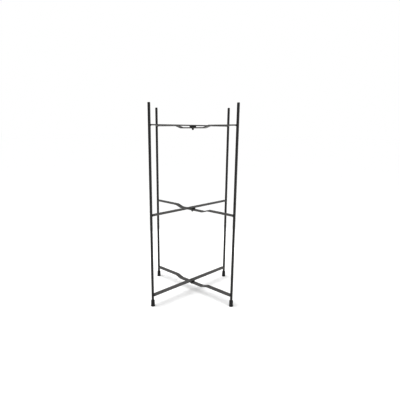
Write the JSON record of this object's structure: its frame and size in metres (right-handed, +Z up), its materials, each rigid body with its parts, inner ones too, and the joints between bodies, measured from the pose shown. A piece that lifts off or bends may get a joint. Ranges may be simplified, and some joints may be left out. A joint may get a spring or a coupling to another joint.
{
  "type": "folding tray stand",
  "caption": "Folding tray stand: ladder frames of round tube and flat crossbars cross and pivot on a central axis, with rubber feet, open tiers and plain posts above the upper cross.",
  "frame": {"origin": "on the floor under the pivot axis, at the centre of the square that the feet stand on", "axes": "+Z up along the pivot axis and the longest extent; the front of the stand faces -Y, +X to its right, with the legs on the diagonals"},
  "size_m": [0.3802, 0.3802, 0.9],
  "materials": {
    "coated_steel": "satin charcoal powder coat",
    "black_plastic": "moulded, matt",
    "black_rubber": "moulded, matt",
    "blackened_steel": "black oxide, slightly oily"
  },
  "bodies": {
    "straight_frame": {"leg_front_left": "coated_steel", "end_plug_front_left": "black_plastic", "foot_front_left": "black_rubber", "leg_back_right": "coated_steel", "end_plug_back_right": "black_plastic", "foot_back_right": "black_rubber", "straight_bar_bottom": "coated_steel", "pivot_screw_bottom": "blackened_steel", "pivot_spacer_bottom": "black_plastic", "pivot_washer_bottom": "blackened_steel", "lock_nut_bottom": "blackened_steel", "straight_bar_middle": "coated_steel", "pivot_screw_middle": "blackened_steel", "pivot_spacer_middle": "black_plastic", "pivot_washer_middle": "blackened_steel", "lock_nut_middle": "blackened_steel", "straight_bar_top": "coated_steel", "pivot_screw_top": "blackened_steel", "pivot_spacer_top": "black_plastic", "pivot_washer_top": "blackened_steel", "lock_nut_top": "blackened_steel", "straight_frame_weld_beads": "coated_steel"},
    "joggled_frame": {"leg_front_right": "coated_steel", "end_plug_front_right": "black_plastic", "foot_front_right": "black_rubber", "leg_back_left": "coated_steel", "end_plug_back_left": "black_plastic", "foot_back_left": "black_rubber", "joggled_bar_bottom": "coated_steel", "joggled_bar_middle": "coated_steel", "joggled_bar_top": "coated_steel", "joggled_frame_weld_beads": "coated_steel"}
  },
  "joints": [
    {"name": "fold", "type": "hinge", "parent": "straight_frame", "child": "joggled_frame", "pos_m": [0, 0, 0.412], "axis": [0, 0, 1], "range_deg": [-75, 75]}
  ]
}
